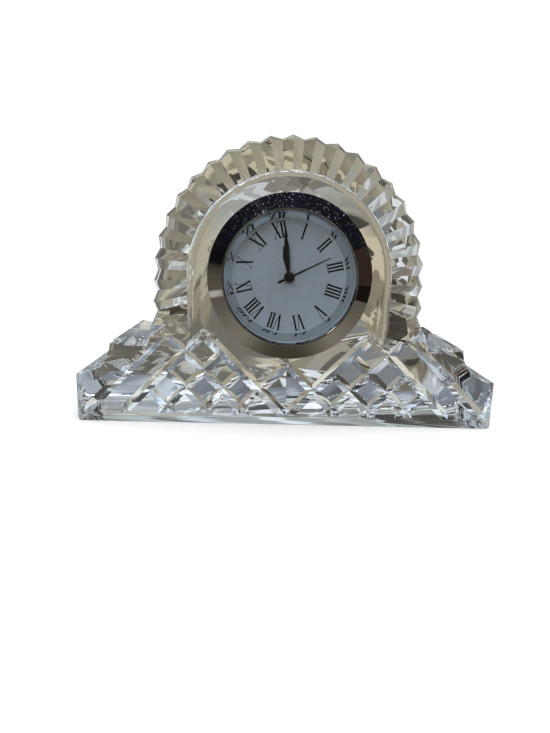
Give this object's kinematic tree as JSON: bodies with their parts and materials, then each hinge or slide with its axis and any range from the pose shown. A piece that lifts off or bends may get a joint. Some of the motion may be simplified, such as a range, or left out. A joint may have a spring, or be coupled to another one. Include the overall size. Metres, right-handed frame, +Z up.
{
  "type": "cut crystal mantel clock",
  "caption": "Cut crystal mantel clock: stepped foot with lattice cuts, fluted round arch and a press-in quartz insert with roman dial, hands, wheel train, battery hatch and setting knob.",
  "frame": {"origin": "middle of the clock on the surface it stands on: centre of the foot in X and Y, underside in Z", "axes": "+Z up, +X to the right as seen from the front, the dial faces -Y, millimetre model stated in metres"},
  "size_m": [0.116, 0.0447, 0.0772],
  "materials": {
    "lead_crystal": "polished cut crystal",
    "polished_bezel": "mirror polished plating",
    "lens_glass": "clear, polished",
    "mirror_ring": "mirror polished plating",
    "black_case": "moulded, satin",
    "dark_rubber": "soft, matte",
    "dial_white": "pale satin paint",
    "hand_black": "satin black",
    "cream_plastic": "moulded, satin",
    "steel": "stamped",
    "train_brass": "turned",
    "white_plastic": "moulded",
    "magnet_compound": "moulded magnet compound",
    "copper_winding": "enamelled copper wire",
    "green_board": "solder mask",
    "black_chip": "moulded resin",
    "cell_steel": "plated",
    "black_hatch": "moulded, satin",
    "black_knob": "moulded, satin"
  },
  "bodies": {
    "crystal": {"crystal_body": "lead_crystal"},
    "band": {"friction_band": "dark_rubber"},
    "insert": {"bezel": "polished_bezel", "lens": "lens_glass", "reflector_ring": "mirror_ring", "insert_case": "black_case", "dial": "dial_white", "front_plate": "cream_plastic", "middle_plate": "steel", "back_plate": "cream_plastic", "plate_screws": "steel", "stator": "steel", "stator_screws": "steel", "coil": "copper_winding", "circuit_board": "green_board", "quartz_can": "steel", "chip": "black_chip", "cell": "cell_steel", "contact_minus": "train_brass", "contact_plus": "train_brass", "back_cover": "black_case"},
    "seconds": {"second_hand": "hand_black", "seconds_wheel": "train_brass"},
    "minutes": {"minute_hand": "hand_black", "cannon_pinion": "train_brass", "centre_wheel": "train_brass"},
    "hours": {"hour_hand": "hand_black", "hour_wheel": "train_brass"},
    "third": {"third_wheel": "train_brass"},
    "motion": {"minute_wheel": "train_brass"},
    "setting": {"setting_pinion": "steel", "setting_knob": "black_knob"},
    "intermediate": {"intermediate_wheel": "white_plastic"},
    "rotor": {"rotor": "magnet_compound"},
    "hatch": {"cell_hatch": "black_hatch"}
  },
  "joints": [
    {"name": "insert_pull", "type": "slide", "parent": "crystal", "child": "band", "axis": [0, -1, 0], "range_m": [0, 0.03]},
    {"name": "insert_turn", "type": "hinge", "parent": "band", "child": "insert", "pos_m": [0, -0.011, 0.0407], "axis": [0, 1, 0], "continuous": true},
    {"name": "seconds_spin", "type": "hinge", "parent": "insert", "child": "seconds", "pos_m": [0, -0.011, 0.0407], "axis": [0, 1, 0], "continuous": true},
    {"name": "minutes_spin", "type": "hinge", "parent": "insert", "child": "minutes", "pos_m": [0, -0.011, 0.0407], "axis": [0, 1, 0], "continuous": true},
    {"name": "hours_spin", "type": "hinge", "parent": "insert", "child": "hours", "pos_m": [0, -0.011, 0.0407], "axis": [0, 1, 0], "continuous": true},
    {"name": "third_spin", "type": "hinge", "parent": "insert", "child": "third", "pos_m": [-0.0057, -0.011, 0.04293], "axis": [0, 1, 0], "continuous": true},
    {"name": "motion_spin", "type": "hinge", "parent": "insert", "child": "motion", "pos_m": [-0.00216, -0.011, 0.03641], "axis": [0, 1, 0], "continuous": true},
    {"name": "setting_spin", "type": "hinge", "parent": "insert", "child": "setting", "pos_m": [-0.00535, -0.011, 0.03283], "axis": [0, 1, 0], "continuous": true},
    {"name": "intermediate_spin", "type": "hinge", "parent": "insert", "child": "intermediate", "pos_m": [0.00417, -0.011, 0.04021], "axis": [0, 1, 0], "continuous": true},
    {"name": "rotor_spin", "type": "hinge", "parent": "insert", "child": "rotor", "pos_m": [0.00685, -0.011, 0.03989], "axis": [0, 1, 0], "continuous": true},
    {"name": "hatch_pull", "type": "slide", "parent": "insert", "child": "hatch", "axis": [0, 1, 0], "range_m": [0, 0.01]}
  ],
  "couplings": [
    {"joint": "minutes_spin", "follows": "seconds_spin", "ratio": 0.016667},
    {"joint": "hours_spin", "follows": "seconds_spin", "ratio": 0.0013889},
    {"joint": "third_spin", "follows": "seconds_spin", "ratio": -0.13333},
    {"joint": "motion_spin", "follows": "seconds_spin", "ratio": -0.0055556},
    {"joint": "setting_spin", "follows": "seconds_spin", "ratio": 0.016667},
    {"joint": "intermediate_spin", "follows": "seconds_spin", "ratio": -6},
    {"joint": "rotor_spin", "follows": "seconds_spin", "ratio": 30}
  ]
}
